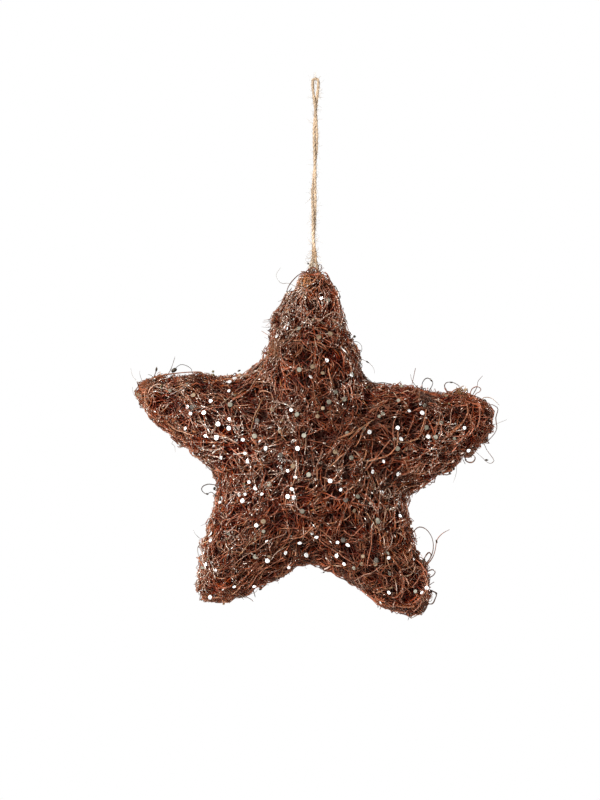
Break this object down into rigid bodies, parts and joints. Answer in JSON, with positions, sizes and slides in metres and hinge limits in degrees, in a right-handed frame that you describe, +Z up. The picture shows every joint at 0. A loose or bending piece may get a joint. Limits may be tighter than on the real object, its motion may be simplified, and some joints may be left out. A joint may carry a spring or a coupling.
{
  "type": "star ornament",
  "caption": "Hanging five-armed star of tangled reddish brown vine fibre with glued silver sequins and glitter, on a loop of jute twine.",
  "frame": {"origin": "the inside of the top bend of the twine loop, where it bears on its hook", "axes": "+Z up along the hanging loop, -Y out of the front of the star, +X to the right seen from the front"},
  "size_m": [0.2052, 0.0586, 0.3084],
  "materials": {
    "fibre": "matt tangled vine fibre",
    "twine": "hairy two-ply jute",
    "silver_sequin": "bright silvered"
  },
  "bodies": {
    "root": {"star_body": "fibre", "twine_loop": "twine", "sequin_01": "silver_sequin", "sequin_02": "silver_sequin", "sequin_03": "silver_sequin", "sequin_04": "silver_sequin", "sequin_05": "silver_sequin", "sequin_06": "silver_sequin", "sequin_07": "silver_sequin", "sequin_08": "silver_sequin", "sequin_09": "silver_sequin", "sequin_10": "silver_sequin", "sequin_11": "silver_sequin", "sequin_12": "silver_sequin", "sequin_13": "silver_sequin", "sequin_14": "silver_sequin", "sequin_15": "silver_sequin", "sequin_16": "silver_sequin", "sequin_17": "silver_sequin", "sequin_18": "silver_sequin", "sequin_19": "silver_sequin", "sequin_20": "silver_sequin", "sequin_21": "silver_sequin", "sequin_22": "silver_sequin", "sequin_23": "silver_sequin", "sequin_24": "silver_sequin", "sequin_25": "silver_sequin", "sequin_26": "silver_sequin", "sequin_27": "silver_sequin", "sequin_28": "silver_sequin", "sequin_29": "silver_sequin", "sequin_30": "silver_sequin", "sequin_31": "silver_sequin", "sequin_32": "silver_sequin", "sequin_33": "silver_sequin", "sequin_34": "silver_sequin", "sequin_35": "silver_sequin", "sequin_36": "silver_sequin", "sequin_37": "silver_sequin", "sequin_38": "silver_sequin", "sequin_39": "silver_sequin", "sequin_40": "silver_sequin", "sequin_41": "silver_sequin", "sequin_42": "silver_sequin", "sequin_43": "silver_sequin"}
  },
  "joints": []
}
